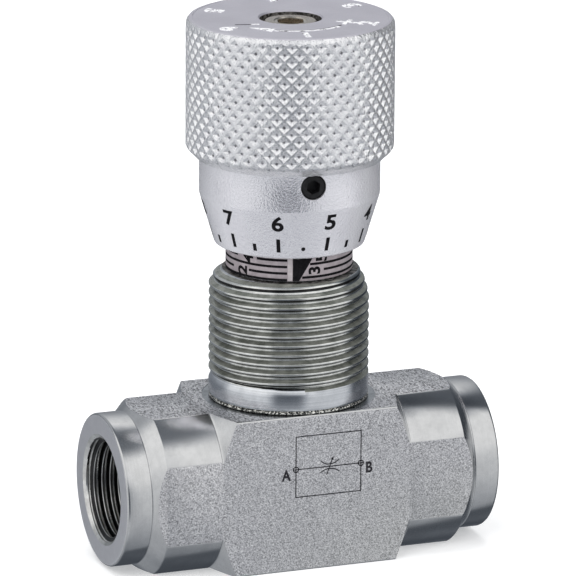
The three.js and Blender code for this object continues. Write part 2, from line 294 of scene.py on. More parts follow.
# ---------------------------------------------------------------- shader graph helpers
class Graph:
    """Short calls for building the node tree of a material or world."""

    def __init__(self, owner):
        owner.use_nodes = True
        self.tree = owner.node_tree
        self.tree.nodes.clear()

    def node(self, kind, **settings):
        node = self.tree.nodes.new(kind)
        for key, value in settings.items():
            setattr(node, key, value)
        return node

    def feed(self, socket, value):
        """Sets a socket to a number or colour, or links an output to it."""
        if isinstance(value, (int, float)):
            socket.default_value = value
        elif isinstance(value, tuple):
            socket.default_value = (*value, 1)
        else:
            self.tree.links.new(value, socket)

    def axes(self, coords="Object"):
        node = self.node("ShaderNodeSeparateXYZ")
        self.feed(node.inputs[0], self.coords.outputs[coords])
        return node.outputs

    def math(self, operation, a, b=0.0):
        node = self.node("ShaderNodeMath", operation=operation)
        self.feed(node.inputs[0], a)
        self.feed(node.inputs[1], b)
        return node.outputs[0]

    def weighted(self, a, share_a, b, share_b):
        return self.math("ADD", self.math("MULTIPLY", a, share_a),
                         self.math("MULTIPLY", b, share_b))

    def remap(self, value, span, to, interpolation="LINEAR"):
        """Maps the range span to the range to, and holds the value outside it."""
        node = self.node("ShaderNodeMapRange", interpolation_type=interpolation)
        for key, number in zip(("From Min", "From Max", "To Min", "To Max"), (*span, *to)):
            node.inputs[key].default_value = number
        self.feed(node.inputs["Value"], value)
        return node.outputs[0]

    def ramp(self, value, stops):
        """Colour ramp on (position, colour or grey level) stops."""
        node = self.node("ShaderNodeValToRGB")
        elements = node.color_ramp.elements
        while len(elements) < len(stops):
            elements.new(0.5)
        for element, (position, colour) in zip(elements, stops):
            element.position = position
            element.color = (*colour, 1) if isinstance(colour, tuple) else (*[colour] * 3, 1)
        self.feed(node.inputs[0], value)
        return node.outputs[0]

    def red_of(self, colour):
        node = self.node("ShaderNodeSeparateColor")
        self.feed(node.inputs[0], colour)
        return node.outputs[0]


class Material(Graph):
    SOCKETS = {"color": "Base Color", "metal": "Metallic", "rough": "Roughness",
               "normal": "Normal", "specular": "Specular IOR Level"}

    def __init__(self, name):
        FINISHES[name] = bpy.data.materials.new(name)
        super().__init__(FINISHES[name])
        output = self.node("ShaderNodeOutputMaterial")
        self.surface = self.node("ShaderNodeBsdfPrincipled")
        self.feed(output.inputs[0], self.surface.outputs[0])
        self.coords = self.node("ShaderNodeTexCoord")

    def set(self, **values):
        for key, value in values.items():
            self.feed(self.surface.inputs[self.SOCKETS[key]], value)

    def scaled(self, scale):
        node = self.node("ShaderNodeMapping")
        node.inputs["Scale"].default_value = scale
        self.feed(node.inputs["Vector"], self.coords.outputs["Object"])
        return node.outputs[0]

    def noise(self, scale, detail=3, roughness=0.6, vector=None):
        node = self.node("ShaderNodeTexNoise")
        node.inputs["Scale"].default_value = scale
        node.inputs["Detail"].default_value = detail
        node.inputs["Roughness"].default_value = roughness
        node.inputs["Distortion"].default_value = 0.0
        self.feed(node.inputs["Vector"], vector or self.coords.outputs["Object"])
        return node.outputs["Fac"]

    def cells(self, scale, vector=None):
        """One random value for each small cell, as the facets of a blasted surface have."""
        node = self.node("ShaderNodeTexVoronoi", feature="F1")
        node.inputs["Scale"].default_value = scale
        self.feed(node.inputs["Vector"], vector or self.coords.outputs["Object"])
        return self.red_of(node.outputs["Color"])

    def mix(self, factor, a, b):
        node = self.node("ShaderNodeMix", data_type="RGBA")
        for socket, value in ((0, factor), (6, a), (7, b)):
            self.feed(node.inputs[socket], value)
        return node.outputs[2]

    def bump(self, height, strength, distance):
        node = self.node("ShaderNodeBump")
        node.inputs["Strength"].default_value = strength
        node.inputs["Distance"].default_value = distance
        self.feed(node.inputs["Height"], height)
        return node.outputs[0]

    def facing(self):
        node = self.node("ShaderNodeLayerWeight")
        node.inputs["Blend"].default_value = 0.5
        return node.outputs["Facing"]


# ---------------------------------------------------------------- materials
def mottled(name, scale, stops, rough, relief, detail=3, roughness=0.6, metal=0.0,
            span=(0.3, 0.7), specular=0.5):
    """A finish whose colour, roughness and relief all follow one noise.

    scale, detail and roughness shape the noise; stops are its colours; rough is a fixed
    value, or the pair that the noise range span maps to; relief is (strength, distance).
    """
    m = Material(name)
    spots = m.noise(scale, detail, roughness)
    m.set(color=m.ramp(spots, stops), metal=metal,
          rough=rough if isinstance(rough, float) else m.remap(spots, span=span, to=rough),
          normal=m.bump(spots, *relief), specular=specular)


def blasted_zinc(name, stretch, low, lift):
    """Zinc over a blasted surface: a fine salt-and-pepper grain.

    stretch scales the grain on each axis, low is the darkest tone, lift brightens the middle.
    """
    m = Material(name)
    grain_space = m.scaled(stretch)
    cloud = m.noise(scale=240)
    small = m.cells(scale=9000, vector=grain_space)
    large = m.cells(scale=6000, vector=grain_space)
    fine = m.noise(scale=4200, detail=2)
    speck = m.weighted(small, 0.72, large, 0.28)
    color = m.ramp(speck, [
        (0.12, (low, low, low * 1.05)),
        (0.36, (0.53 * lift, 0.53 * lift, 0.55 * lift)),
        (0.66, (0.76 * lift, 0.755 * lift, 0.78 * lift)),
        (0.90, (1.0, 1.0, 1.0))])
    haze = m.remap(cloud, span=(0.35, 0.65), to=(0.0, 0.14))
    color = m.mix(haze, color, (0.58, 0.58, 0.60))
    # the plating is faintly yellow-green low on the +X end
    x, y, z = m.axes()
    tint = m.math("MULTIPLY", m.remap(x, span=(-0.012, 0.024), to=(0.0, 1.0)),
                  m.remap(z, span=(0.016, 0.002), to=(0.0, 1.0)))
    color = m.mix(m.math("MULTIPLY", tint, 0.30), color, (0.56, 0.57, 0.50))
    m.set(color=color, metal=1.0, rough=m.remap(speck, span=(0.2, 0.8), to=(0.50, 0.38)),
          normal=m.bump(fine, strength=0.8, distance=0.00004))


def neck_foot():
    """Speckles at the foot of the neck, mostly near black with bright grains, on a rough surface."""
    m = Material("neck_foot")
    speck = m.weighted(m.cells(scale=5200), 0.6, m.noise(scale=1500), 0.4)
    color = m.ramp(speck, [(0.46, (0.02, 0.022, 0.024)), (0.54, (0.26, 0.265, 0.25)),
                           (0.66, (0.85, 0.84, 0.79))])
    m.set(color=color, metal=0.6, rough=0.35,
          normal=m.bump(speck, strength=1.0, distance=0.00009))


def pocket_wall():
    """Painted shade, dark and rough, on the walls of the pockets in the knob and neck tops."""
    m = Material("pocket_wall")
    speck = m.cells(scale=2600)
    color = m.ramp(speck, [(0.2, (0.03, 0.028, 0.025)), (0.8, (0.22, 0.21, 0.20))])
    m.set(color=color, metal=0.6, rough=0.45,
          normal=m.bump(speck, strength=0.6, distance=0.00004))


def turned_metal(name, dark, light, rough, axis, line=9000, strength=0.25, metal=1.0,
                 cloudy=0.55):
    """Lathe-turned metal with fine rings about an axis ('X' or 'Z').

    line is the ring frequency, strength the relief, cloudy the share of cloud in the tone.
    """
    m = Material(name)
    across = 30                          # noise frequency along the rings
    stretch = (line, across, across) if axis == "X" else (across, across, line)
    rings = m.noise(scale=1.0, roughness=0.7, vector=m.scaled(stretch))
    cloud = m.noise(scale=420, detail=5, roughness=0.65)
    grain = m.noise(scale=5200, detail=2, roughness=0.5)
    tone = m.weighted(rings, 1.0 - cloudy, cloud, cloudy)
    color = m.ramp(tone, [(0.36, dark), (0.62, light)])
    height = m.math("ADD", rings, m.math("MULTIPLY", grain, 0.25))
    m.set(color=color, metal=metal,
          rough=m.remap(tone, span=(0.35, 0.65), to=(rough * 1.2, rough * 0.85)),
          normal=m.bump(height, strength=strength, distance=0.00001))


def satin_aluminium():
    """Bead-blasted, clear anodised aluminium."""
    m = Material("aluminium_satin")
    fine = m.noise(scale=4300, detail=2, roughness=0.5)
    dents = m.noise(scale=3000, detail=2)
    cloud = m.noise(scale=140, roughness=0.5)
    tone = m.weighted(fine, 0.5, cloud, 0.5)
    color = m.ramp(tone, [(0.36, (0.86, 0.85, 0.895)), (0.64, (0.94, 0.93, 0.97))])
    height = m.math("ADD", m.math("MULTIPLY", fine, 0.5), dents)
    m.set(color=color, metal=m.remap(m.facing(), span=(0.10, 0.50), to=(0.90, 0.52)),
          rough=m.remap(dents, span=(0.3, 0.7), to=(0.22, 0.14)),
          normal=m.bump(height, strength=1.0, distance=0.00009))


def top_aluminium():
    """The faced top of the knob, smoother than the blasted sides."""
    m = Material("aluminium_top")
    fine = m.noise(scale=5200, detail=2, roughness=0.5)
    cloud = m.noise(scale=160, roughness=0.5)
    tone = m.weighted(fine, 0.4, cloud, 0.6)
    color = m.ramp(tone, [(0.36, (0.66, 0.64, 0.70)), (0.64, (0.74, 0.72, 0.78))])
    m.set(color=color, metal=0.80, rough=m.remap(fine, span=(0.3, 0.7), to=(0.46, 0.38)),
          normal=m.bump(fine, strength=0.5, distance=0.00002))


def knurl_aluminium():
    """Clear anodised knurl; the bottom of each pressed diamond gets a small dark dot of painted
    shade.
    """
    m = Material("aluminium_knurl")
    fine = m.noise(scale=5200)
    cloud = m.noise(scale=300, roughness=0.5)
    color = m.ramp(m.weighted(fine, 0.5, cloud, 0.5),
                   [(0.38, (0.90, 0.90, 0.92)), (0.62, (0.99, 0.99, 1.0))])
    x, y, z = m.axes()
    # across and up count half diamonds, so their sum and difference count the ridges
    across = m.math("MULTIPLY", m.math("ARCTAN2", y, x), KNURL_STARTS / math.pi)
    up = m.math("DIVIDE", m.math("SUBTRACT", z, (KNURL_Z + AXIS_Z) * 0.001), KNURL_HALF * 0.001)

    def from_centre(operation):
        half = m.math("MULTIPLY", m.math(operation, across, up), 0.5)
        return m.math("ABSOLUTE", m.math("SUBTRACT", m.math("FRACT", half), 0.5))

    def height_mask(low, high, to):
        span = ((low + AXIS_Z) * 0.001, (high + AXIS_Z) * 0.001)
        return m.remap(z, span=span, to=to)
    distance = m.math("MAXIMUM", from_centre("ADD"), from_centre("SUBTRACT"))
    ragged = m.math("SUBTRACT", m.noise(scale=900, detail=2, roughness=0.5), 0.5)
    distance = m.math("ADD", distance, m.math("MULTIPLY", ragged, 0.16))
    # dark dot at the bottom of each pressed diamond: painted shade
    painted_pit_shade = m.remap(distance, span=(0.075, 0.13), to=(1.0, 0.0))
    painted_pit_shade = m.math("MULTIPLY", painted_pit_shade, m.math("MULTIPLY", height_mask(71.9, 72.1, to=(1.0, 0.0)),
                                         height_mask(52.0, 52.4, to=(0.0, 1.0))))
    color = m.mix(m.math("MULTIPLY", painted_pit_shade, 0.86), color, (0.10, 0.10, 0.12))
    dents = m.noise(scale=1500, detail=2)
    dent_shade = m.remap(dents, span=(0.40, 0.62), to=(0.0, 0.4))
    color = m.mix(dent_shade, color, (0.70, 0.70, 0.74))
    facing = m.facing()
    height = m.math("ADD", m.math("MULTIPLY", fine, 0.35), dents)
    m.set(color=color, metal=m.remap(facing, span=(0.30, 0.70), to=(0.94, 0.66)),
          rough=m.remap(fine, span=(0.3, 0.7), to=(0.22, 0.13)),
          normal=m.bump(height, strength=1.0, distance=0.00016))


def label_film():
    m = Material("label_film")
    cloud = m.noise(scale=900)
    fine = m.noise(scale=5000, detail=2, roughness=0.5)
    color = m.ramp(cloud, [(0.35, (0.37, 0.325, 0.345)), (0.65, (0.48, 0.425, 0.45))])
    m.set(color=color, metal=0.25, rough=m.remap(fine, span=(0.3, 0.7), to=(0.34, 0.46)),
          normal=m.bump(fine, strength=0.15, distance=0.00001), specular=0.5)


def make_materials():
    blasted_zinc("zinc_blasted", stretch=(1, 1, 1), low=0.22, lift=1.0)
    blasted_zinc("zinc_blasted_top", stretch=(0.75, 0.28, 0.75), low=0.10, lift=1.04)
    # the turned seat in the top flat around the neck, its zinc coloured darker as painted shade
    # around the foot of the neck
    mottled("zinc_spot_face", scale=700, detail=4, roughness=0.65, metal=1.0,
            stops=[(0.35, (0.32, 0.34, 0.36)), (0.65, (0.52, 0.54, 0.56))],
            span=(0.35, 0.65), rough=(0.36, 0.26), relief=(0.4, 0.00002))
    neck_foot()
    pocket_wall()
    turned_metal("zinc_turned", dark=(0.575, 0.58, 0.585), light=(0.66, 0.665, 0.67),
                 rough=0.17, axis="X", line=7000, strength=0.12, cloudy=0.75)
    turned_metal("zinc_face", dark=(0.68, 0.68, 0.71), light=(0.76, 0.76, 0.79),
                 rough=0.36, axis="X", line=3000, strength=0.2, metal=0.78)
    # near-black zinc deep in the ports is painted shade; the crests near the mouth keep a lighter
    # zinc tone
    turned_metal("port_thread", dark=(0.02, 0.02, 0.022), light=(0.06, 0.06, 0.06),
                 rough=0.34, axis="X", line=3000, strength=0.2)
    turned_metal("port_crest", dark=(0.42, 0.43, 0.42), light=(0.72, 0.73, 0.72),
                 rough=0.30, axis="X", line=3000, strength=0.4)
    turned_metal("port_mouth", dark=(0.50, 0.50, 0.48), light=(0.86, 0.86, 0.84),
                 rough=0.30, axis="X", line=2500, strength=0.8, cloudy=0.8)
    turned_metal("neck_band", dark=(0.60, 0.62, 0.65), light=(0.80, 0.82, 0.85),
                 rough=0.21, axis="Z", line=5200, strength=0.45, cloudy=0.5)
    turned_metal("neck_thread", dark=(0.13, 0.14, 0.12), light=(0.40, 0.41, 0.37),
                 rough=0.22, axis="Z", strength=0.35, cloudy=0.7, metal=0.45)
    # the near-black lower flanks of the neck thread are painted shade
    turned_metal("neck_under", dark=(0.015, 0.015, 0.016), light=(0.07, 0.07, 0.068),
                 rough=0.30, axis="Z", cloudy=0.8)
    # the bright crests and roots of the neck thread are painted highlight lines
    turned_metal("neck_crest", dark=(0.60, 0.61, 0.59), light=(0.90, 0.91, 0.89),
                 rough=0.15, axis="Z", cloudy=0.8)
    turned_metal("steel_turned", dark=(0.46, 0.46, 0.48), light=(0.68, 0.68, 0.70),
                 rough=0.25, axis="Z", strength=0.3)
    turned_metal("screw_zinc", dark=(0.60, 0.54, 0.46), light=(0.86, 0.80, 0.72),
                 rough=0.24, axis="Z", line=6000, strength=0.3)
    turned_metal("brass", dark=(0.55, 0.38, 0.14), light=(0.80, 0.62, 0.30),
                 rough=0.30, axis="Z", line=6000, strength=0.3)
    satin_aluminium()
    top_aluminium()
    # marks on the top of the knob: bright metal with dark dirt in it
    mottled("aluminium_mark", scale=1500,
            stops=[(0.37, (0.16, 0.16, 0.17)), (0.43, (0.62, 0.62, 0.64)),
                   (0.50, (0.97, 0.97, 0.98))],
            rough=(0.22, 0.34), relief=(0.9, 0.00006))
    knurl_aluminium()
    label_film()
    mottled("label_stripe", scale=1200, metal=0.25,
            stops=[(0.35, (0.50, 0.455, 0.465)), (0.65, (0.62, 0.57, 0.58))],
            rough=(0.34, 0.46), relief=(0.15, 0.00001))
    mottled("ink_black", scale=2600, roughness=0.65,
            stops=[(0.35, (0.005, 0.005, 0.006)), (0.68, (0.014, 0.013, 0.015))],
            rough=(0.7, 0.85), relief=(0.2, 0.00001), specular=0.06)
    mottled("ink_worn", scale=2200, detail=4, roughness=0.7,
            stops=[(0.36, (0.008, 0.008, 0.010)), (0.66, (0.045, 0.044, 0.05))],
            rough=0.8, relief=(0.3, 0.00002), specular=0.08)
    mottled("black_oxide", scale=1500, metal=0.1,
            stops=[(0.35, (0.004, 0.004, 0.005)), (0.65, (0.014, 0.014, 0.016))],
            rough=(0.42, 0.58), relief=(0.3, 0.00002), specular=0.35)
    mottled("rubber_black", scale=3000,
            stops=[(0.35, (0.010, 0.010, 0.011)), (0.65, (0.030, 0.030, 0.032))],
            rough=(0.5, 0.7), relief=(0.3, 0.00002), specular=0.4)
    mottled("ptfe", scale=1200,
            stops=[(0.35, (0.74, 0.71, 0.64)), (0.65, (0.86, 0.84, 0.78))],
            rough=(0.4, 0.55), relief=(0.2, 0.00001))


make_materials()

# ---------------------------------------------------------------- thread forms
# Phases through one pitch, and the share of the full thread depth at each
ISO_FORM = (
    [0.0, 0.055, 0.08, 0.105, 0.125, 0.395, 0.415, 0.445,
     0.5, 0.555, 0.585, 0.605, 0.875, 0.895, 0.92, 0.945],
    [0.0, 0.0, 0.014, 0.05, 0.10, 0.905, 0.96, 1.0,
     1.0, 1.0, 0.96, 0.905, 0.10, 0.05, 0.014, 0.0])
WHITWORTH_FORM = (
    [0.0, 0.05, 0.10, 0.15, 0.35, 0.40, 0.45, 0.5, 0.55, 0.60, 0.65, 0.85, 0.90, 0.95],
    [0.0, 0.02, 0.07, 0.2, 0.8, 0.93, 0.98, 1.0, 0.98, 0.93, 0.8, 0.2, 0.07, 0.02])


def form_depth(phase, form):
    phases, depths = form
    return np.interp(phase, phases + [1.0], depths + [depths[0]])


# ---------------------------------------------------------------- valve body
PORT_PITCH = 1.337
PORT_MINOR_R = 7.48
PORT_DEPTH = 0.85
PORT_THREAD_LENGTH = 11.6
MOUTH_R = 8.72                           # countersink at the end face
MOUTH_SLOPE = 1.4                        # radius lost per mm inwards
SPOT_DEPTH = 0.06                        # turned seat in the top flat
PASSAGE_R = 2.75

# Turned form of each end: (radius, distance from the middle along X)
BODY_TURNING = [
    (0, HALF_LENGTH), (11.50, HALF_LENGTH), (11.70, HALF_LENGTH - 0.03),
    (11.85, HALF_LENGTH - 0.12), (11.95, HALF_LENGTH - 0.27), (12.0, HALF_LENGTH - 0.45),
    (12.0, 27.02), (11.90, 26.93), (11.86, 26.84), (11.90, 26.76), (12.03, 26.66),
    (12.14, 26.56), (13.84, 24.86), (13.94, 24.74), (14.0, 24.58), (14.0, 15.72),
    (13.92, 15.64), (13.90, 15.56), (13.95, 15.48), (14.08, 15.38), (14.3, 15.22),
    (17.75, 13.2)]

# Stepped well that takes the bonnet: (radius, height)
BODY_WELL = [
    (0, -10), (4.0, -10), (4.0, -3.0), (6.5, -3.0), (6.5, 0), (7.0, 0), (7.0, 6.0), (10.0, 6.0),
    (10.0, 10.0), (11.7, 10.5), (11.7, 12.6), (12.3, 13.2), (0, 13.2)]


def port_cutter(name):
    end = HALF_LENGTH
    thread_start = end - PORT_THREAD_LENGTH

    def radius(z, phase, around):
        fade = smooth_step((z - thread_start) / 1.6)
        thread = PORT_MINOR_R + PORT_DEPTH * form_depth(phase, WHITWORTH_FORM) * fade
        return np.maximum(thread, MOUTH_R - MOUTH_SLOPE * (end - z))
    rows = profile([(0, end - 16.9), (6.9, end - 13.3), (PORT_MINOR_R, end - 12.9)])
    rows += thread_rows(thread_start, end + 0.4, PORT_PITCH, radius, WHITWORTH_FORM, start=0.3)
    rows += profile([(8.75 + 1.4, end + 1.4), (0, end + 1.4)])
    return turned(name, rows, 144, loop=False)


def body_finish(centre, normal):
    def on_flat(position, direction):
        return abs(abs(direction) - 1) < 1e-3 and abs(abs(position) - HALF_WIDTH) < 0.01
    if on_flat(centre.y, normal.y):
        return "zinc_blasted"
    if on_flat(centre.z, normal.z):
        return "zinc_blasted_top"
    # the turned seat around the neck is real, and its darker colour is painted shade
    if normal.z > 0.9 and abs(centre.z - HALF_WIDTH + SPOT_DEPTH) < 0.01:
        return "zinc_spot_face"
    if abs(centre.x) > HALF_LENGTH - 0.05 and abs(normal.x) > 0.95:
        return "zinc_face"
    radius = math.hypot(centre.y, centre.z)
    if radius < 8.9 and abs(centre.x) > 12:
        inwards = HALF_LENGTH - abs(centre.x)
        if radius > MOUTH_R - MOUTH_SLOPE * inwards - 0.05 and radius > 8.15:
            return "port_mouth"
        # crests near the mouth keep a zinc tone, and the rest of the port is near black as painted
        # shade
        if radius < 7.56 and inwards < 10.5:
            return "port_crest"
        return "port_thread"
    return "zinc_turned"


def build_body():
    overlap = 2                          # the bar runs past the turned ends
    body = block("valve_block", (-HALF_LENGTH - overlap, -HALF_WIDTH, -HALF_WIDTH),
                 (HALF_LENGTH + overlap, HALF_WIDTH, HALF_WIDTH))
    # break the long edges of the bar
    edit = bmesh.new()
    edit.from_mesh(body.data)
    long_edges = [e for e in edit.edges if abs(e.verts[0].co.x - e.verts[1].co.x) > 1]
    bmesh.ops.bevel(edit, geom=long_edges, offset=0.28, segments=3, profile=0.5,
                    affect='EDGES')
    close_edit(edit, body.data)
    outline = [(r, -x) for r, x in BODY_TURNING] + [(r, x) for r, x in reversed(BODY_TURNING)]
    boolean(body, along_x(turned("turning", profile(outline), 256, loop=False)), "INTERSECT")
    boolean(body, along_x(port_cutter("cut_r"), 1))
    boolean(body, along_x(port_cutter("cut_l"), -1))
    boolean(body, turned("well", profile(BODY_WELL), 128, loop=False))
    floor = HALF_WIDTH - SPOT_DEPTH
    seat = [(0, floor), (13.5, floor), (13.56, HALF_WIDTH), (13.6, HALF_WIDTH + 1),
            (0, HALF_WIDTH + 1)]
    boolean(body, turned("spot", profile(seat), 192, loop=False))
    # one sloping passage from the -X port, one level passage to the +X port
    boolean(body, rod("passage_in", (-19.5, 0, -3.9), (0, 0, -6.9), PASSAGE_R, 48))
    boolean(body, rod("passage_out", (2, 0, 2.9), (19.5, 0, 2.9), PASSAGE_R, 48))
    finish_mesh(body.data, weld=0.0002, sharp=32.0)
    finishes = ["zinc_blasted", "zinc_turned", "zinc_face", "port_thread", "port_crest",
                "port_mouth", "zinc_blasted_top", "zinc_spot_face"]
    paint(body, finishes, body_finish)
    place(body, "housing", finishes, "valve_body")


# ---------------------------------------------------------------- bonnet with the neck thread
NECK_PITCH = 1.5
NECK_DEPTH = 0.92
NECK_THREAD_Z = 16.2
NECK_TOP = 33.0
NECK_START = 0.15                        # phase of the helix at the angle 0
SPIGOT_PITCH = 1.5
SPIGOT_DEPTH = 0.9
SPIGOT_R = 9.94

# Plain foot between the spigot and neck threads: (radius, height)
NECK_FOOT = [
    (9.2, 10.15), (9.2, 12.52), (12.2, 12.52), (12.36, 12.56), (12.46, 12.66), (12.46, 12.8),
    (12.36, 12.92), (12.24, 12.97), (12.34, 13.08), (12.45, 13.24), (12.5, 13.5), (12.5, 15.2)]

# Collar above the thread and the stepped bore back down: (radius, height)
NECK_BORE = [
    (8.4, NECK_TOP), (8.4, BONNET_TOP - 0.3), (8.1, BONNET_TOP), (6.5, BONNET_TOP),
    (6.5, BONNET_TOP - 2.6), (5.4, BONNET_TOP - 2.6), (5.4, 28.0), (5.06, 27.7),
    (5.06, 16.9), (6.06, 16.9), (6.06, BONNET_BOTTOM + 0.6)]


def neck_radius(z, phase, around):
    fade = smooth_step((z - 16.3) / 0.5)
    depth = form_depth(phase, ISO_FORM)
    # the top is chamfered, and the last turns below it are blunter on one side
    short = np.interp(z, [31.25, 33.0], [12.52, 10.83])
    blunt = np.interp(z, [28.8, 30.0, 31.2, 32.2, 33.0], [12.52, 12.19, 11.83, 11.5, 10.85])
    side = 0.5 + 0.5 * np.cos(around * TAU + math.radians(21.4))
    return np.minimum(NECK_R - NECK_DEPTH * depth * fade,
                      short + (blunt - short) * side - 0.45 * depth)


def spigot_radius(z, phase, around):
    thread = SPIGOT_R - SPIGOT_DEPTH * form_depth(phase, ISO_FORM)
    return np.minimum(thread, 9.3 + (z - BONNET_BOTTOM))


def bonnet_finish(centre, normal):
    radius = math.hypot(centre.x, centre.y)
    if centre.z > NECK_TOP - 0.05:
        # the flat ring on top of the neck is coloured near black as painted shade
        return "pocket_wall" if radius < 10.9 and normal.z > 0.9 else "neck_band"
    if centre.z > 16.4 and radius > 10.5:
        around = math.atan2(centre.y, centre.x) / TAU
        phase = ((centre.z - NECK_THREAD_Z) / NECK_PITCH - around - NECK_START) % 1.0
        depth = form_depth(phase, ISO_FORM)
        # lower flanks are coloured near black as painted shade
        if phase > 0.5 and 0.02 < depth < 0.93:
            return "neck_under"
        # crests and roots are coloured bright as painted highlight
        return "neck_crest" if depth < 0.07 or depth > 0.93 else "neck_thread"
    if 12.4 < centre.z < 13.05 and radius > 11.5:
        return "neck_foot"
    return "neck_band"


def build_bonnet():
    rows = profile([(6.66, BONNET_BOTTOM), (9.3, BONNET_BOTTOM)])
    rows += thread_rows(BONNET_BOTTOM, 10.0, SPIGOT_PITCH, spigot_radius, ISO_FORM)
    rows += profile(NECK_FOOT)
    rows += thread_rows(NECK_THREAD_Z, NECK_TOP, NECK_PITCH, neck_radius, ISO_FORM,
                        start=NECK_START)
    rows += profile(NECK_BORE)
    bonnet = turned("bonnet_neck", rows, 192, sharp=66)
    finishes = ["neck_band", "neck_thread", "neck_crest", "neck_foot", "pocket_wall",
                "neck_under"]
    paint(bonnet, finishes, bonnet_finish)
    place(bonnet, "housing", finishes, "bonnet")


# ---------------------------------------------------------------- knob
SKIRT_LOW_Z, SKIRT_LOW_R = KNOB_BOTTOM + 0.5, 11.78
SKIRT_HIGH_Z, SKIRT_HIGH_R = 45.25, 14.04
TOP_FACE = KNOB_TOP - 0.06               # the top face lies just below its rim

# Cross-hole in the skirt for the lock screw
LOCK_Z = 49.15
LOCK_ANGLE = math.radians(-96.1)
LOCK_DIRECTION = Vector((math.cos(LOCK_ANGLE), math.sin(LOCK_ANGLE), 0))

# Largest radius of the grip at each height, which rounds both ends of the knurl
GRIP_LIMIT_Z = [KNURL_Z, 51.7, 52.2, 52.75, 71.5, 71.95, 72.25, 72.45, 72.6]
GRIP_LIMIT_R = [14.62, 15.25, 15.8, GRIP_R, GRIP_R, GRIP_R - 0.05, GRIP_R - 0.13,
                GRIP_R - 0.22, GRIP_R - 0.32]

# Lower edge of the knob: (radius, height)
KNOB_EDGE = [
    (10.2, KNOB_BOTTOM + 0.25), (10.45, KNOB_BOTTOM), (11.2, KNOB_BOTTOM),
    (11.45, KNOB_BOTTOM + 0.05), (11.66, KNOB_BOTTOM + 0.2), (11.76, KNOB_BOTTOM + 0.42)]

# Plain band between the skirt and the knurl: (radius, height)
KNOB_BAND = [
    (14.03, 45.25), (14.04, 45.42), (14.04, 48.0), (14.04, 50.78), (14.08, 50.92),
    (14.2, 51.0), (14.4, 51.02)]

# Rim, top face, screw pocket and bore: (radius, height)
KNOB_CROWN = [
    (GRIP_R - 0.46, 72.68), (GRIP_R - 0.66, 72.76), (GRIP_R - 0.9, KNOB_TOP),
    (GRIP_R - 1.0, KNOB_TOP), (GRIP_R - 1.06, TOP_FACE), (5.05, TOP_FACE),
    (4.8, KNOB_TOP - 0.3), (4.8, 66.0), (2.7, 66.0), (2.7, 63.5), (4.06, 63.5)]


def lock_point(radius):
    return LOCK_DIRECTION * radius + Vector((0, 0, LOCK_Z))


def skirt_radius(z):
    if z >= SKIRT_HIGH_Z:
        return SKIRT_HIGH_R
    slope_run = SKIRT_HIGH_Z - SKIRT_LOW_Z
    return SKIRT_LOW_R + (z - SKIRT_LOW_Z) * (SKIRT_HIGH_R - SKIRT_LOW_R) / slope_run


def knurl_row(step):
    z = KNURL_Z + step * KNURL_HALF / KNURL_STEPS

    def surface(around):
        def from_ridge(count):
            return np.abs(count - np.round(count))
        across = around * KNURL_STARTS * 2
        up = step / KNURL_STEPS
        # ridges cross along the diagonals; the diamonds between them are pressed in to a point
        nearest = np.minimum(from_ridge((across + up) / 2), from_ridge((across - up) / 2))
        sunk = np.interp(nearest * 2, [0, 0.25, 0.5, 0.75, 1.0], [0, 0.05, 0.36, 0.70, 1.0])
        ease = 1.0 - 0.6 * smooth_step((z - 71.9) / 0.8)
        r = GRIP_R - KNURL_DEPTH * ease * sunk
        return np.minimum(r, np.interp(z, GRIP_LIMIT_Z, GRIP_LIMIT_R)), np.full_like(around, z)
    return surface


def knob_finish(centre, normal):
    radius = math.hypot(centre.x, centre.y)
    if radius > 14.3 and 51.05 < centre.z < 72.5:
        return "aluminium_knurl"
    # the wall of the screw pocket is coloured near black as painted shade
    if 66.1 < centre.z < KNOB_TOP - 0.25 and radius < 4.9:
        return "pocket_wall"
    if centre.z > KNOB_TOP - 0.32 and radius > 4.7:
        sunk = centre.z < KNOB_TOP - 0.08 and radius < 14.4 and normal.z > 0.9
        return "aluminium_mark" if sunk else "aluminium_top"
    return "aluminium_satin"


def build_knob():
    segments = KNURL_STARTS * 2 * KNURL_STEPS
    knurl_steps = int((KNOB_TOP - 0.25 - KNURL_Z) / (KNURL_HALF / KNURL_STEPS))
    skirt_z = [SKIRT_LOW_Z + t * (45.1 - SKIRT_LOW_Z) for t in (0, 0.25, 0.5, 0.75, 1.0)]
    rows = profile([(4.06, 58.6), (10.2, 58.6)] + KNOB_EDGE)
    rows += profile([(skirt_radius(z), z) for z in skirt_z] + KNOB_BAND)
    first = len(rows)
    rows += [knurl_row(step) for step in range(knurl_steps + 1)]
    last = len(rows) - 1
    rows += profile(KNOB_CROWN)

    def splits(k):
        """Cuts the knurl cells along the ridges."""
        if k < first or k >= last:
            return None
        half_up = (k - first) // KNURL_STEPS
        return (np.arange(segments) // KNURL_STEPS + half_up) % 2 == 0
    knob = turned("control_knob", rows, segments, sharp=35, splits=splits)
    boolean(knob, rod("lock_hole", lock_point(8), lock_point(20), 2.0, 64))
    finish_mesh(knob.data, weld=0.0002, sharp=30.0)
    finishes = ["aluminium_satin", "aluminium_knurl", "aluminium_top", "aluminium_mark",
                "pocket_wall"]
    paint(knob, finishes, knob_finish)
    place(knob, "spindle_and_knob", finishes, "knob")


# ---------------------------------------------------------------- marks and films
COLUMN = 0.17                            # glyphs are cut this narrow to follow a round surface


def cut_column(edit, u):
    geometry = edit.verts[:] + edit.edges[:] + edit.faces[:]
    bmesh.ops.bisect_plane(edit, geom=geometry, plane_co=(u, 0, 0), plane_no=(1, 0, 0))


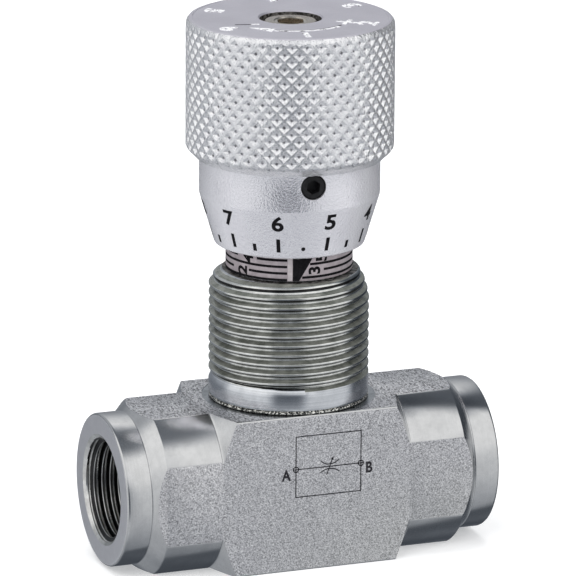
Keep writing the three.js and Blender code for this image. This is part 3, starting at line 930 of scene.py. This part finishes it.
def glyph(text, height, lift, sink, angle=0.0, centre=(0, 0), squeeze=1.0, bold=0.0):
    """A thin solid character in (u, v), from -sink to lift; squeeze scales its width."""
    curve = bpy.data.curves.new("glyph", "FONT")
    curve.body = text
    curve.size = 1.0
    curve.align_x = "CENTER"
    curve.resolution_u = 6
    curve.offset = bold
    curve.extrude = 0.5
    outline = link(bpy.data.objects.new("glyph", curve))
    mesh = evaluated_mesh(outline)
    bpy.data.objects.remove(outline, do_unlink=True)
    points = np.array([v.co for v in mesh.vertices])
    low, high = points.min(0), points.max(0)
    scale = height / (high[1] - low[1])
    cosine, sine = math.cos(angle), math.sin(angle)
    for v in mesh.vertices:
        x = (v.co.x - (low[0] + high[0]) / 2) * scale * squeeze
        y = (v.co.y - (low[1] + high[1]) / 2) * scale
        z = lift if v.co.z > 0 else -sink
        v.co = (x * cosine - y * sine + centre[0], x * sine + y * cosine + centre[1], z)
    edit = bmesh.new()
    edit.from_mesh(mesh)
    bmesh.ops.remove_doubles(edit, verts=edit.verts, dist=1e-5)
    across = [v.co.x for v in edit.verts]
    u = min(across) + COLUMN
    while u < max(across):
        cut_column(edit, u)
        u += COLUMN
    bmesh.ops.recalc_face_normals(edit, faces=edit.faces)
    close_edit(edit, mesh)
    return link(bpy.data.objects.new("glyph", mesh))


def film(outline, lift, sink, step=0.25):
    """A thin plate on an outline in (u, v), cut into columns about step wide."""
    edit = bmesh.new()
    edit.faces.new([edit.verts.new((u, v, -sink)) for u, v in outline])
    left = min(u for u, v in outline)
    right = max(u for u, v in outline)
    cuts = int((right - left) / step)
    for i in range(1, cuts + 1):
        cut_column(edit, left + (right - left) * i / (cuts + 1))
    extruded = bmesh.ops.extrude_face_region(edit, geom=edit.faces[:])["geom"]
    top = [item for item in extruded if isinstance(item, bmesh.types.BMVert)]
    bmesh.ops.translate(edit, verts=top, vec=(0, 0, sink + lift))
    bmesh.ops.recalc_face_normals(edit, faces=edit.faces)
    return edit_object("film", edit)


def wrap(obj, surface):
    """Moves each point (u, v, outwards) to where surface puts it."""
    for v in obj.data.vertices:
        v.co = Vector(surface(*v.co))
    obj.data.update()
    return obj


def rectangle(left, right, low, high):
    return [(left, low), (right, low), (right, high), (left, high)]


def bar(x, y, degrees, length, width):
    angle = math.radians(degrees)
    cosine, sine = math.cos(angle), math.sin(angle)
    corners = rectangle(-length / 2, length / 2, -width / 2, width / 2)
    return [(x + u * cosine - v * sine, y + u * sine + v * cosine) for u, v in corners]


def arc_band(inner, outer, start, end):
    return arc_points(inner, start, end, 40) + arc_points(outer, start, end, 40)[::-1]


def plates(outlines, low, high):
    """Prisms on outlines in either direction, each turned anticlockwise."""
    objects = []
    for outline in outlines:
        area = sum(a[0] * b[1] - b[0] * a[1] for a, b in zip(outline, outline[1:] + outline[:1]))
        ordered = outline if area > 0 else outline[::-1]
        objects.append(prism("mark", ordered, low, high))
    return objects


def build_top_marks():
    """Low raised marks on the top face: a curved arrow, minus and plus, and six numbers."""
    sunk = TOP_FACE - 0.03
    arrow_head = [polar(9.8, -151), polar(8.6, -127), polar(10.7, -127)]
    bright = plates([arc_band(9.56, 10.06, -126.5, -62), arrow_head,
                     bar(-7.0, -2.95, -16, length=1.3, width=0.5),
                     bar(6.9, -6.2, -42, length=3.4, width=0.7)], sunk, TOP_FACE + 0.045)
    bright += plates([bar(6.9, -6.2, 48, length=3.4, width=0.7)], sunk, TOP_FACE + 0.05)
    number_r = 12.5
    for k in range(6):
        angle = math.radians(-100 + 60 * k)
        number = glyph(str(k + 1), 3.1, lift=0.055, sink=0.03, squeeze=1.25, bold=0.035)
        spot = (number_r * math.cos(angle), number_r * math.sin(angle), TOP_FACE)
        turn = Matrix.Rotation(angle + math.pi / 2, 4, 'Z')
        bright.append(transform(number, Matrix.Translation(spot) @ turn))
    place(join("top_marks", bright), "spindle_and_knob", ["aluminium_mark"])
    dark = plates([arc_band(9.34, 9.56, -133, -56),
                   bar(-8.8, -2.45, -16, length=2.4, width=0.24)], sunk, TOP_FACE + 0.03)
    place(join("top_mark_shade", dark), "spindle_and_knob", ["ink_worn"])


def on_skirt(degrees):
    """Surface map of the skirt, degrees on from the camera side: v is the height."""
    def surface(u, v, outwards):
        skirt = skirt_radius(v)
        angle = FACE_ANGLE + math.radians(degrees) + u / skirt
        r = skirt + outwards
        return r * math.cos(angle), r * math.sin(angle), v
    return surface


def build_dial():
    """Ten divisions around the skirt, numbered, with half marks between them."""
    thin = {"lift": 0.02, "sink": 0.05}
    division = 36.0
    marks = []
    for k in range(10):
        degrees = -7.7 + division * k
        tick = film(rectangle(-0.30, 0.30, 38.42, 40.66), **thin)
        marks.append(wrap(tick, on_skirt(degrees)))
        digit = glyph(str((6 - k) % 10), 2.55, lift=0.025, sink=0.08, centre=(0, 43.27),
                      squeeze=1.18, bold=0.028)
        marks.append(wrap(digit, on_skirt(degrees)))
        # the first half mark is a dot, the others are short ticks
        half_mark = circle(0.32, 16, (0, 38.98)) if k == 0 else rectangle(-0.29, 0.29, 38.4, 39.6)
        marks.append(wrap(film(half_mark, **thin), on_skirt(degrees + division / 2)))
    place(join("dial_marks", marks), "spindle_and_knob", ["ink_black"])


# ---------------------------------------------------------------- scale label
LABEL_R = 9.88
STRIPE_ANGLE = math.radians(-90 - 20.6)
SCALE_LOW = 33.32
RING_Z = 33.50                           # first ring
RING_PITCH = 1.035
RING_COUNT = 7
RIGHT_RING_RISE = 0.35                   # rings right of the stripe sit this much higher
WEDGE_TOP = 38.6                         # the wedge widens up to here, then runs straight

# Gaps that the numbers leave in the rings, by ring
LEFT_GAPS = {1: (-10.4, -6.85), 3: (-9.3, -5.35), 5: (-10.4, -6.85)}
RIGHT_STARTS = {1: 5.5, 3: 6.3, 5: 5.5}

# Numbers beside the stripe: (text, u, height)
SCALE_NUMBERS = [("2", -8.2, 34.35), ("4", -7.0, 36.36), ("6", -8.2, 38.5),
                 ("3", 3.9, 34.86), ("5", 5.1, 36.8), ("7", 5.9, 38.95)]


def on_label(u, v, outwards):
    angle = STRIPE_ANGLE + u / LABEL_R
    r = LABEL_R + outwards
    return r * math.cos(angle), r * math.sin(angle), v


def wedge_edge(z):
    return 1.42 + 0.60 * (z - 33.3)


def build_label_print():
    """Turn scale: rings on both sides of the index stripe, numbered, with a solid wedge."""
    prints = []
    half_round = TAU * LABEL_R * 0.48

    def ring(left, right, z):
        outline = rectangle(left, right, z - 0.195, z + 0.195)
        prints.append(wrap(film(outline, lift=0.012, sink=0.03, step=0.3), on_label))
    for k in range(RING_COUNT):
        z = RING_Z + k * RING_PITCH
        left = -half_round
        if k in LEFT_GAPS:
            gap_start, gap_end = LEFT_GAPS[k]
            ring(left, gap_start, z)
            left = gap_end
        ring(left, -0.42, z)
        z += RIGHT_RING_RISE
        ring(RIGHT_STARTS.get(k, wedge_edge(min(z, WEDGE_TOP)) + 0.15), half_round, z)
    wedge = [(0.44, SCALE_LOW), (wedge_edge(SCALE_LOW), SCALE_LOW),
             (wedge_edge(WEDGE_TOP), WEDGE_TOP), (wedge_edge(WEDGE_TOP), 40.3), (0.44, 40.3)]
    prints.append(wrap(film(wedge, lift=0.014, sink=0.03), on_label))
    for text, u, z in SCALE_NUMBERS:
        number = glyph(text, 2.0, lift=0.016, sink=0.04, angle=math.radians(90),
                       centre=(u, z), squeeze=1.06, bold=0.034)
        prints.append(wrap(number, on_label))
    place(join("scale_print", prints), "housing", ["ink_black"])


def build_stripe():
    stripe = film(rectangle(-0.32, 0.34, SCALE_LOW, 40.36), lift=0.008, sink=0.03)
    stripe.name = "stripe"
    stripe.data.name = "stripe"
    place(wrap(stripe, on_label), "housing", ["label_stripe"])


def build_label_film():
    points = [(9.79, 33.3), (9.86, 33.3), (LABEL_R, 33.33), (LABEL_R, 40.37), (9.86, 40.4),
              (9.79, 40.4)]
    place(turned("scale_film", profile(points), 192), "housing",
          ["label_film"], "scale_label")


def build_sleeve():
    points = [(8.44, 33.1), (9.63, 33.1), (9.78, 33.25), (9.78, 53.6), (9.7, 53.8),
              (9.5, 54.0), (8.5, 54.0), (8.44, 53.9)]
    place(turned("scale_carrier", profile(points), 160), "housing",
          ["steel_turned"], "scale_sleeve")


# ---------------------------------------------------------------- symbol on the front (-Y) flat
SYMBOL_LEFT, SYMBOL_RIGHT = -3.54, 7.28
SYMBOL_LOW, SYMBOL_HIGH = -0.55, 9.2
SYMBOL_MID = 3.93                        # height of the flow line
THROTTLE_X = 2.08                        # middle of the two facing arcs
LINE = 0.165                             # line width


def stroke(points, width):
    """A flat stroke along a polyline, as one quad per leg that laps over the joints."""
    quads = []
    for (x0, y0), (x1, y1) in zip(points[:-1], points[1:]):
        length = math.hypot(x1 - x0, y1 - y0)
        side_x, side_y = -(y1 - y0) / length * width / 2, (x1 - x0) / length * width / 2
        lap_x, lap_y = (x1 - x0) / length * width * 0.25, (y1 - y0) / length * width * 0.25
        quads.append([(x0 + side_x - lap_x, y0 + side_y - lap_y),
                      (x0 - side_x - lap_x, y0 - side_y - lap_y),
                      (x1 - side_x + lap_x, y1 - side_y + lap_y),
                      (x1 + side_x + lap_x, y1 + side_y + lap_y)])
    return quads


def build_symbol():
    """The drawing symbol of an adjustable throttle."""
    left, right, mid, x = SYMBOL_LEFT, SYMBOL_RIGHT, SYMBOL_MID, THROTTLE_X
    frame_line = rectangle(left, right, SYMBOL_LOW, SYMBOL_HIGH)
    outlines = stroke(frame_line + frame_line[:1], LINE)
    outlines += stroke([(left - 0.42, mid), (right + 0.42, mid)], LINE)
    for end in (left, right):
        outlines += stroke(arc_points(0.43, 0, 360, 24, (end, mid)), LINE * 0.95)
    outlines += stroke(arc_points(2.12, 225, 315, 14, (x, mid + 2.49)), LINE)
    outlines += stroke(arc_points(2.39, 51, 129, 14, (x, mid - 2.74)), LINE)
    # slanting arrow across the throttle
    outlines += stroke([(x - 0.50, mid - 1.30), (x + 0.44, mid + 1.20)], LINE * 0.9)
    outlines.append([(x + 0.60, mid + 1.62), (x + 0.20, mid + 1.10), (x + 0.62, mid + 0.94)])
    uncut = 100                          # a step wider than any outline
    marks = [film(outline, lift=0.02, sink=0.05, step=uncut) for outline in outlines]
    for text, u in (("A", left - 1.6), ("B", right + 1.4)):
        marks.append(glyph(text, 1.8, lift=0.02, sink=0.05, centre=(u, mid - 0.8),
                           squeeze=0.85, bold=0.034))
    symbol = join("flow_symbol", marks)
    wrap(symbol, lambda u, v, outwards: (u, -HALF_WIDTH - outwards, v))
    place(symbol, "housing", ["ink_worn"])


# ---------------------------------------------------------------- screws and seals
LOCK_SCREW_INNER, LOCK_SCREW_OUTER = 11.1, 13.9  # ends, from the knob axis
SCREW_HEAD_Z = 67.25                     # underside of the knob screw head


def build_lock_screw():
    length = LOCK_SCREW_OUTER - LOCK_SCREW_INNER
    points = [(0, 0), (1.5, 0), (1.93, 0.4), (1.93, length - 0.25), (1.7, length), (0, length)]
    screw = turned("lock_screw_m4", profile(points), 64, loop=False)
    socket = prism("socket", hexagon(2.0, angle=0.3), length - 1.6, length + 1)
    mouth = [(0, length - 0.2), (1.12, length - 0.02), (1.3, length + 0.2), (0, length + 0.2)]
    socket_mouth = turned("socket_mouth", profile(mouth), 48, loop=False)
    boolean(screw, socket)
    boolean(screw, socket_mouth)
    finish_mesh(screw.data, weld=0.0002, sharp=30)
    transform(screw, aim(lock_point(LOCK_SCREW_INNER), LOCK_DIRECTION))
    place(screw, "lock_screw_body", ["black_oxide"], "lock_screw")


def build_knob_screw():
    shank = [(0, 51.2), (2.0, 51.2), (2.5, 51.7)]
    # head: (radius, height above its underside)
    head = [(2.5, 0), (4.1, 0), (4.25, 0.15), (4.25, 4.55), (4.15, 4.8), (3.85, 5.0),
            (2.6, 5.0), (2.45, 4.85), (0, 4.85)]
    points = shank + [(r, SCREW_HEAD_Z + z) for r, z in head]
    screw = turned("knob_screw_m5", profile(points), 96, loop=False)
    boolean(screw, prism("socket", hexagon(4.0, angle=0.2), SCREW_HEAD_Z + 2.4,
                         SCREW_HEAD_Z + 6))
    finish_mesh(screw.data, weld=0.0002, sharp=30)
    place(screw, "spindle_and_knob", ["screw_zinc"], "knob_screw")


def build_seal(name, middle_r, section_r, z, body, replaces):
    points = circle(section_r, 24, (middle_r, z))
    place(turned(name, profile(points), 128, sharp=80), body,
          ["rubber_black"], replaces)


build_body()
build_bonnet()
build_knob()
build_top_marks()
build_dial()
build_label_film()
build_label_print()
build_stripe()
build_sleeve()
build_symbol()
build_lock_screw()
build_knob_screw()
build_seal("neck_seal", 10.65, 0.86, 11.6, "housing", "bonnet_o_ring")
build_seal("spindle_seal", 5.26, 0.74, 13.0, "spindle_seals", "spindle_o_ring")

# The other CAD nodes keep their shape and get a finish
for node_name, finish in (
        ("seat_ring", "steel_turned"), ("wiper_ring", "rubber_black"),
        ("spindle", "steel_turned"), ("backup_ring_lower", "ptfe"),
        ("backup_ring_upper", "ptfe"), ("knob_dowel_pin", "steel_turned"),
        ("knob_spring_washer", "steel_turned"), ("lock_pad", "brass")):
    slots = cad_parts[node_name].data.materials
    slots.clear()
    slots.append(FINISHES[finish])


# ---------------------------------------------------------------- stage, light and camera (m)
FLOOR_HALF = 6.0
FLOOR_LIFT = 0.30                        # glow of the floor, seen by the camera only
LIGHT_TARGET = (0, 0, 0.04)


def build_floor():
    """A plain pale floor, near white to the camera and unseen by reflections."""
    m = Material("floor_pale")
    cloud = m.noise(scale=8, detail=2, roughness=0.5)
    color = m.ramp(cloud, [(0.3, (0.86, 0.86, 0.86)), (0.7, (0.89, 0.89, 0.89))])
    m.set(color=color, metal=0.0, rough=0.8, specular=0.1)
    seen = m.node("ShaderNodeLightPath").outputs["Is Camera Ray"]
    m.feed(m.surface.inputs["Emission Color"], (1, 1, 1))
    m.feed(m.surface.inputs["Emission Strength"], m.math("MULTIPLY", seen, FLOOR_LIFT))
    s = FLOOR_HALF
    floor = data_object("floor", [(-s, -s, 0), (s, -s, 0), (s, s, 0), (-s, s, 0)],
                        [(0, 1, 2, 3)])
    floor.data.materials.append(FINISHES["floor_pale"])
    floor.visible_glossy = False


# Studio brightness by direction: (degrees above the horizon, level)
CAMERA_SIDE = [
    (-90, .25), (-70, .36), (-50, .62), (-35, .60), (-26, .36), (-18, .13), (4, .10),
    (14, .26), (28, .80), (58, .95), (66, .35), (74, .19), (90, .19)]
SOFT_BOXES = [
    (-90, .20), (-70, .33), (-54, .46), (-36, .58), (-17, .72), (2, .76), (12, .86),
    (21, 1.02), (57, 1.05), (63, .70), (68, .36), (73, .19), (90, .19)]
FAR_SIDES = [
    (-90, .12), (-69, .17), (-50, .28), (-32, .31), (-17, .13), (0, .14), (20, .31),
    (50, .32), (60, .18), (67, .10), (76, .17), (90, .19)]
BACKDROP = [
    (-90, .10), (-56, .09), (-39, .07), (-26, .15), (-16, .24), (0, .29), (12, .34),
    (22, .48), (36, .78), (52, 1.05), (60, .72), (68, .28), (74, .20), (90, .19)]
LEVEL_TOP = 1.25                         # level that a full ramp value stands for


def build_world():
    """Studio: a soft box on each side of the camera, a pale table and a pale backdrop."""
    world = bpy.data.worlds.new("studio")
    bpy.context.scene.world = world
    g = Graph(world)

    def step(value, span, to=(0.0, 1.0)):
        return g.remap(value, span, to, interpolation="SMOOTHSTEP")

    def blend(share, a, b):
        return g.math("ADD", g.math("MULTIPLY", a, g.math("SUBTRACT", 1.0, share)),
                      g.math("MULTIPLY", b, share))

    def curve(stations):
        stops = [(degrees / 180.0 + 0.5, level / LEVEL_TOP) for degrees, level in stations]
        return g.math("MULTIPLY", g.red_of(g.ramp(elevation, stops)), LEVEL_TOP)

    g.coords = g.node("ShaderNodeTexCoord")
    x, y, z = g.axes("Generated")
    turn = math.radians(CAMERA_TURN)
    cosine, sine = math.cos(turn), math.sin(turn)
    # front points to the camera, side to the camera's right, azimuth is degrees off front
    front = g.math("ADD", g.math("MULTIPLY", x, sine), g.math("MULTIPLY", y, -cosine))
    side = g.math("ADD", g.math("MULTIPLY", x, cosine), g.math("MULTIPLY", y, sine))
    azimuth = g.math("MULTIPLY", g.math("ABSOLUTE", g.math("ARCTAN2", side, front)),
                     180.0 / math.pi)
    elevation = g.math("ADD", g.math("DIVIDE", g.math("ARCSINE", z), math.pi), 0.5)
    near, boxes, far, back = [curve(c) for c in (CAMERA_SIDE, SOFT_BOXES, FAR_SIDES, BACKDROP)]
    far = g.math("MULTIPLY", far, step(side, span=(-0.9, 0.9), to=(1.55, 0.25)))
    level = blend(step(azimuth, span=(16, 33)), near, boxes)
    level = blend(step(azimuth, span=(90, 110)), level, far)
    back_share = step(azimuth, span=(143, 172))
    back = g.math("MULTIPLY", back, step(side, span=(0.05, 0.5), to=(1.0, 0.3)))
    level = blend(back_share, level, back)
    # the camera sees an even pale ground; light and reflections see the studio, cool when dim
    seen = g.node("ShaderNodeLightPath").outputs["Is Camera Ray"]
    channels = [blend(seen, g.math("POWER", level, 1.05), 0.93), blend(seen, level, 0.93),
                blend(seen, g.math("POWER", level, 0.93), 0.935)]
    background = g.node("ShaderNodeBackground")
    background.inputs[1].default_value = 1.0
    color = g.node("ShaderNodeCombineColor")
    for socket, channel in zip(color.inputs, channels):
        g.feed(socket, channel)
    g.feed(background.inputs[0], color.outputs[0])
    g.feed(g.node("ShaderNodeOutputWorld").inputs[0], background.outputs[0])


def area_light(name, location, size, power):
    """A square light aimed at LIGHT_TARGET and unseen by reflections."""
    light = bpy.data.lights.new(name, "AREA")
    light.energy = power
    light.shape = "RECTANGLE"
    light.size = size
    light.size_y = size
    obj = link(bpy.data.objects.new(name, light))
    obj.location = location
    aim_turn = (Vector(LIGHT_TARGET) - Vector(location)).to_track_quat('-Z', 'Y')
    obj.rotation_euler = aim_turn.to_euler()
    obj.visible_glossy = False


def build_camera():
    """A long lens from the front left (-Y, -X), a little above, with a slight roll."""
    turn, tilt, roll = (math.radians(a) for a in (-CAMERA_TURN, 15.271, 0.357))
    distance = 0.984
    shift_right, shift_up = 0.041, 28.504  # view centre from the port axis, mm
    back = Vector((-math.sin(turn) * math.cos(tilt), -math.cos(turn) * math.cos(tilt),
                   math.sin(tilt)))
    level_right = Vector((math.cos(turn), -math.sin(turn), 0))
    level_up = back.cross(level_right)
    right = math.cos(roll) * level_right + math.sin(roll) * level_up
    up = -math.sin(roll) * level_right + math.cos(roll) * level_up
    target = (right * shift_right + up * shift_up + Vector((0, 0, AXIS_Z))) * 0.001
    camera = bpy.data.cameras.new("camera")
    camera.sensor_width = 36.0
    camera.lens = 392.1875
    camera.clip_start = 0.05
    camera.clip_end = 50
    obj = link(bpy.data.objects.new("camera", camera))
    place_at = target + back * distance
    obj.matrix_world = Matrix([(right[k], up[k], back[k], place_at[k]) for k in range(3)]
                              + [(0, 0, 0, 1)])
    bpy.context.scene.camera = obj


build_floor()
build_world()
bpy.context.scene.view_settings.view_transform = "Standard"
area_light("key_left", location=(-0.6, -0.6, 0.75), size=0.6, power=3.0)
area_light("fill_right", location=(0.75, -0.45, 0.55), size=0.6, power=2.0)
area_light("top", location=(0.0, 0.15, 1.0), size=0.9, power=5.0)
build_camera()
